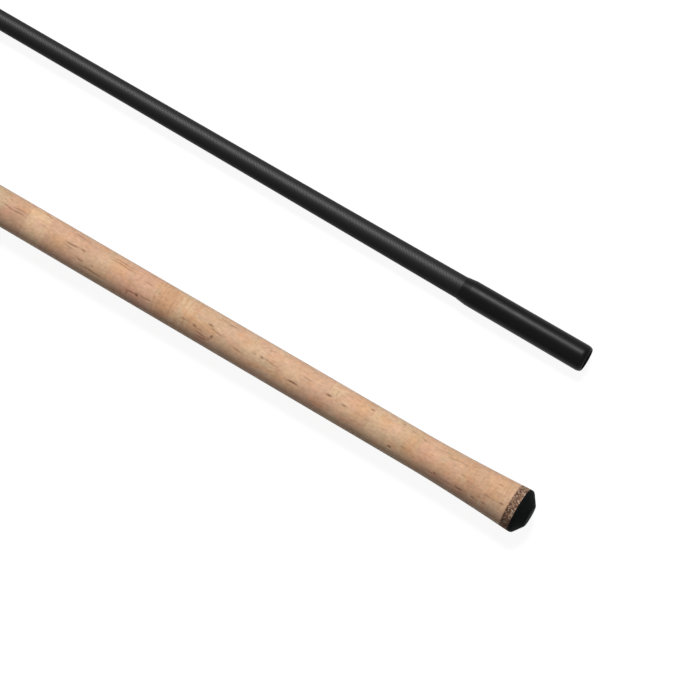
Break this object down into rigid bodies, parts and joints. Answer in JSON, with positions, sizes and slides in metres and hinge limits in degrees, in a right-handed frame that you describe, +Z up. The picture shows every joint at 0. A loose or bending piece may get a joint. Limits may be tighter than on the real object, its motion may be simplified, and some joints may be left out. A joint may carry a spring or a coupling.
{
  "type": "carp rod",
  "caption": "Carp fishing rod in two sections laid side by side, with a cork grip, reel seat with a screwed sliding hood, guides and a slip-over joint.",
  "frame": {"origin": "centre of the butt cap's flat end, on the butt section's axis", "axes": "+X along both sections from the butt towards the tip, +Y from the tip section to the butt section, +Z up from the surface they lie on"},
  "size_m": [1.882, 0.207, 0.05],
  "materials": {
    "cork": "fine sanded natural cork with small dark pits",
    "burl_cork": "sanded composite cork of dark granules",
    "butt_rubber": "matt black rubber",
    "plug_rubber": "matt black rubber",
    "carbon_blank": "fine woven carbon under a satin clear coat",
    "joint_lacquer": "smooth satin black lacquer",
    "seat_plastic": "satin black moulded seat",
    "arbor_foam": "closed-cell foam",
    "black_alloy": "black anodised alloy",
    "guide_steel": "black plated steel",
    "guide_ceramic": "polished dark ceramic",
    "thread_lacquer": "black thread under clear epoxy"
  },
  "bodies": {
    "butt_section": {"butt_cap": "butt_rubber", "burl_cork_ring": "burl_cork", "grip_cork_01": "cork", "grip_cork_02": "cork", "grip_cork_03": "cork", "grip_cork_04": "cork", "grip_cork_05": "cork", "grip_cork_06": "cork", "grip_cork_07": "cork", "grip_cork_08": "cork", "grip_cork_09": "cork", "grip_cork_10": "cork", "grip_cork_11": "cork", "grip_cork_12": "cork", "grip_cork_13": "cork", "butt_blank": "carbon_blank", "rear_trim_ring": "black_alloy", "reel_seat_barrel": "seat_plastic", "rear_arbor": "arbor_foam", "front_arbor": "arbor_foam", "fixed_hood": "seat_plastic", "front_trim_ring": "black_alloy", "foregrip_cork_01": "cork", "foregrip_cork_02": "cork", "winding_check": "black_alloy", "butt_guide_frame": "guide_steel", "butt_guide_ring": "guide_ceramic", "butt_guide_front_whipping": "thread_lacquer", "butt_guide_rear_whipping": "thread_lacquer", "male_end_whipping": "thread_lacquer", "male_end_plug": "plug_rubber"},
    "tip_section": {"ferrule_sleeve": "joint_lacquer", "tip_blank": "carbon_blank", "guide_40_frame": "guide_steel", "guide_40_ring": "guide_ceramic", "guide_40_front_whipping": "thread_lacquer", "guide_40_rear_whipping": "thread_lacquer", "guide_30_frame": "guide_steel", "guide_30_ring": "guide_ceramic", "guide_30_front_whipping": "thread_lacquer", "guide_30_rear_whipping": "thread_lacquer", "guide_20_frame": "guide_steel", "guide_20_ring": "guide_ceramic", "guide_20_whipping": "thread_lacquer", "guide_16_frame": "guide_steel", "guide_16_ring": "guide_ceramic", "guide_16_whipping": "thread_lacquer", "tip_top_frame": "guide_steel", "tip_top_ring": "guide_ceramic", "tip_top_whipping": "thread_lacquer"},
    "moving_hood": {"moving_hood": "seat_plastic"},
    "hood_nut": {"hood_nut": "black_alloy"},
    "lock_nut": {"lock_nut": "black_alloy"}
  },
  "joints": [
    {"name": "tip_section_lift", "type": "slide", "parent": "butt_section", "child": "tip_section", "axis": [0, 0, 1], "range_m": [0, 0.3]},
    {"name": "hood_travel", "type": "slide", "parent": "butt_section", "child": "moving_hood", "axis": [-1, 0, 0], "range_m": [0, 0.02]},
    {"name": "hood_nut_turn", "type": "hinge", "parent": "moving_hood", "child": "hood_nut", "pos_m": [0.618, 0, 0], "axis": [-1, 0, 0], "range_deg": [0, 3600]},
    {"name": "lock_nut_turn", "type": "hinge", "parent": "moving_hood", "child": "lock_nut", "pos_m": [0.6278, 0, 0], "axis": [-1, 0, 0], "range_deg": [0, 3600]}
  ],
  "couplings": [
    {"joint": "hood_travel", "follows": "hood_nut_turn", "m_per_rad": 0.0003183},
    {"joint": "lock_nut_turn", "follows": "hood_nut_turn", "ratio": 1}
  ]
}
